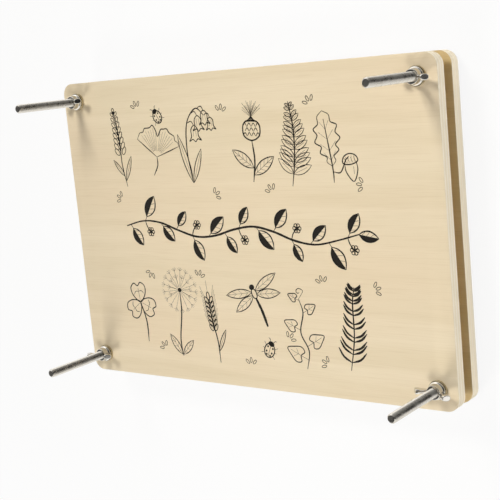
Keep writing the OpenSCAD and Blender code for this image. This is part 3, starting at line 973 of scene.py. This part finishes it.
bm = bmesh.new()
rings = []
for i in range(hub_facets):
    a = 2 * math.pi * i / hub_facets
    rings.append([bm.verts.new((r * math.cos(a), r * math.sin(a), z)) for r, z in hub_line])
for a, b in zip(rings, rings[1:] + rings[:1]):
    for k in range(len(hub_line)):
        bm.faces.new((a[k], b[k], b[(k + 1) % len(hub_line)], a[(k + 1) % len(hub_line)]))
for side in (1, -1):
    sections = []
    for far, up, lean, half_h, half_t in wing_line:
        lean = math.radians(lean)
        section = []
        for i in range(wing_facets):
            a = 2 * math.pi * i / wing_facets
            s = math.copysign(abs(math.sin(a)) ** squareness, math.sin(a)) * half_h
            t = math.copysign(abs(math.cos(a)) ** squareness, math.cos(a)) * half_t
            section.append(bm.verts.new((side * (far - s * math.sin(lean)), t, up + s * math.cos(lean))))
        sections.append(section)
    for a, b in zip(sections, sections[1:]):
        for i in range(wing_facets):
            after = (i + 1) % wing_facets
            bm.faces.new((a[i], a[after], b[after], b[i]))
    bm.faces.new(sections[0])
    bm.faces.new(sections[-1])
bmesh.ops.recalc_face_normals(bm, faces=bm.faces)

# the remesh joins hub and wings into one skin, and the smoothing leaves the fillets of a casting
casting = bpy.data.objects.new("nut_casting", mesh_of(bm, "nut_casting"))
bpy.context.scene.collection.objects.link(casting)
joined = casting.modifiers.new("join", "REMESH")
joined.mode, joined.voxel_size = "VOXEL", cast_voxel
eased = casting.modifiers.new("ease", "SMOOTH")
eased.factor, eased.iterations = easing, easing_rounds
made = casting.evaluated_get(bpy.context.evaluated_depsgraph_get())
skin_mesh = bpy.data.meshes.new_from_object(made)
bpy.data.objects.remove(casting)
skin_mesh.transform(Matrix.Scale(MM, 4))
for vertex in skin_mesh.vertices:
    if vertex.co.z < foot_slack:
        vertex.co.z = 0

# the drill: a bore with a small countersink at the top
drill = turned_solid([(0, -MM), (bore_r, -MM), (bore_r, countersink_low),
                      (bore_r + countersink, countersink_top), (bore_r + countersink, drill_h),
                      (0, drill_h)], drill_facets)
casting = bpy.data.objects.new("nut_casting", skin_mesh)
cutter = bpy.data.objects.new("drill", mesh_of(drill, "drill"))
for solid in (casting, cutter):
    bpy.context.scene.collection.objects.link(solid)
bored = casting.modifiers.new("bore", "BOOLEAN")
bored.operation, bored.solver, bored.object = "DIFFERENCE", "EXACT", cutter
made = casting.evaluated_get(bpy.context.evaluated_depsgraph_get())
nut_mesh = bpy.data.meshes.new_from_object(made)
for solid in (casting, cutter):
    bpy.data.objects.remove(solid)
nut_mesh.materials.clear()
nut_mesh.materials.append(cast_nickel)

for corner in corners:
    node = "wing_nut_" + corner
    middle = middle_of("washer_" + corner)
    mesh = nut_mesh.copy()
    mesh.transform(Matrix.Translation((middle.x, middle.y, nut_z))
                   @ Matrix.Rotation(math.radians(nut_angles[corner]), 4, "Z"))
    piece = finished(mesh, node + "_casting", node, smooth_under=42)
    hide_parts(node)


# Corrugated cards
# Sheets of brown single-wall corrugated card: two flat liners and a wavy sheet glued between
# them, with the waves 3.3 mm apart and open at the short sides of the press.
card_l, card_w, card_t = 281 * MM, 194 * MM, 1.6 * MM
corner_cut = 19.83 * MM
liner_t, wave_t = 0.28 * MM, 0.20 * MM
wave_pitch = 3.3 * MM
# the grid's lines along the card, twelve to a wave
card_columns = 1025

kraft, tree, spot = new_material("brown_kraft_corrugated_card")
# kraft liner: pulp in clouds some 20 mm across, and fibres 0.6 mm apart and 2 mm long, which is
# as coarse as they need to be to show
cloud = add(tree, "ShaderNodeTexNoise", {"Vector": spot, "Scale": 55.0, "Detail": 4.0})
fibre_at = add(tree, "ShaderNodeMapping", {"Vector": spot, "Scale": (500, 1700, 1700)})
fibre = add(tree, "ShaderNodeTexNoise", {"Vector": fibre_at, "Scale": 1.0, "Detail": 3.0})
tone = add(tree, "ShaderNodeMix", {0: cloud, 6: linear("ad8558"), 7: linear("c49a69")}, data_type="RGBA")
fleck = add(tree, "ShaderNodeMapRange", {0: fibre, 1: 0.55, 2: 0.8, 3: 0.0, 4: 0.4})
tone = add(tree, "ShaderNodeMix", {0: fleck, 6: tone.outputs[2], 7: linear("8c6840")}, data_type="RGBA")
relief = add(tree, "ShaderNodeBump", {"Height": fibre, "Strength": 0.25, "Distance": 0.00005})
skin = add(tree, "ShaderNodeBsdfPrincipled", {"Base Color": tone.outputs[2], "Roughness": 0.85,
                                              "Specular IOR Level": 0.2, "Normal": relief})
add(tree, "ShaderNodeOutputMaterial", {"Surface": skin})

tree, given = new_tree("corrugated_card", Length="Float", Width="Float", Cut="Float", Thickness="Float",
                       Liner="Float", Wave="Float", Pitch="Float", Columns="Int", Paper="Material")
at = add(tree, "ShaderNodeSeparateXYZ", {0: add(tree, "GeometryNodeInputPosition")})
half_l = add(tree, "ShaderNodeMath", {0: given["Length"], 1: 0.5}, operation="MULTIPLY")
half_w = add(tree, "ShaderNodeMath", {0: given["Width"], 1: 0.5}, operation="MULTIPLY")
# towards the short sides the corners are cut off at 45 degrees
far = add(tree, "ShaderNodeMath", {0: at.outputs["X"]}, operation="ABSOLUTE")
before_cut = add(tree, "ShaderNodeMath", {0: half_l, 1: given["Cut"]}, operation="SUBTRACT")
past = add(tree, "ShaderNodeMath", {0: far, 1: before_cut}, operation="SUBTRACT")
past = add(tree, "ShaderNodeMath", {0: past, 1: 0.0}, operation="MAXIMUM")
reach = add(tree, "ShaderNodeMath", {0: half_w, 1: past}, operation="SUBTRACT")
y = add(tree, "ShaderNodeMath", {0: at.outputs["Y"], 1: reach}, operation="MULTIPLY")
turned = add(tree, "ShaderNodeMath", {0: at.outputs["X"], 1: given["Pitch"]}, operation="DIVIDE")
turned = add(tree, "ShaderNodeMath", {0: turned, 1: 2 * math.pi}, operation="MULTIPLY")
wave = add(tree, "ShaderNodeMath", {0: turned}, operation="SINE")
# the wave swings a little over half of the room inside, so that it touches both liners
inside = add(tree, "ShaderNodeMath", {0: given["Liner"], 1: -2.0, 2: given["Thickness"]},
             operation="MULTIPLY_ADD")
swing = add(tree, "ShaderNodeMath", {0: inside, 1: given["Wave"]}, operation="SUBTRACT")
swing = add(tree, "ShaderNodeMath", {0: swing, 1: 0.51}, operation="MULTIPLY")
waved = add(tree, "ShaderNodeMath", {0: wave, 1: swing}, operation="MULTIPLY")
middle = add(tree, "ShaderNodeMath", {0: given["Thickness"], 1: given["Liner"]}, operation="SUBTRACT")
middle = add(tree, "ShaderNodeMath", {0: middle, 1: 0.5}, operation="MULTIPLY")
below = add(tree, "ShaderNodeMath", {0: middle, 1: -1.0}, operation="MULTIPLY")
parts = []
for level, thick in ((middle, given["Liner"]), (waved, given["Wave"]), (below, given["Liner"])):
    strip = add(tree, "GeometryNodeMeshGrid", {"Size X": given["Length"], "Size Y": 2.0,
                                               "Vertices X": given["Columns"], "Vertices Y": 2})
    lower = add(tree, "ShaderNodeMath", {0: thick, 1: -0.5, 2: level}, operation="MULTIPLY_ADD")
    spot = add(tree, "ShaderNodeCombineXYZ", {0: at.outputs["X"], 1: y, 2: lower})
    sheet = add(tree, "GeometryNodeSetPosition", {"Geometry": strip, "Position": spot})
    parts += both_sides(tree, sheet, thick)
close_tree(tree, parts, given["Paper"])

card_mesh = run_tree(tree, bpy.data.meshes.new("no_mesh"), {
    "Length": card_l, "Width": card_w, "Cut": corner_cut, "Thickness": card_t, "Liner": liner_t,
    "Wave": wave_t, "Pitch": wave_pitch, "Columns": card_columns, "Paper": kraft})
for number in range(1, 5):
    node = "card_%d" % number
    mesh = card_mesh.copy()
    mesh.transform(Matrix.Translation((0, 0, middle_of(node).z)))
    piece = finished(mesh, node + "_corrugated", node, smooth_under=40)
    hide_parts(node)


# Blotting paper
# Soft thick sheets of unsized cotton paper, off-white and matt, cut with the cards. They
# lie in pairs, and the flowers go between the two of a pair.
blotting, tree, spot = new_material("unsized_cotton_blotting_paper")
# thick and thin patches, 6 mm across, and felted fibres, 0.4 mm
cloud = add(tree, "ShaderNodeTexNoise", {"Vector": spot, "Scale": 160.0, "Detail": 5.0, "Roughness": 0.65})
felt = add(tree, "ShaderNodeTexNoise", {"Vector": spot, "Scale": 2500.0, "Detail": 3.0})
tone = add(tree, "ShaderNodeMix", {0: cloud, 6: linear("e6e0d0"), 7: linear("f4f0e4")}, data_type="RGBA")
relief = add(tree, "ShaderNodeBump", {"Height": felt, "Strength": 0.5, "Distance": 0.00008})
skin = add(tree, "ShaderNodeBsdfPrincipled", {"Base Color": tone.outputs[2], "Roughness": 0.95,
                                              "Specular IOR Level": 0.1, "Normal": relief})
add(tree, "ShaderNodeOutputMaterial", {"Surface": skin})
for number in range(1, 7):
    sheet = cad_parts["blotter_%d" % number]
    sheet.data.materials.clear()
    sheet.data.materials.append(blotting)
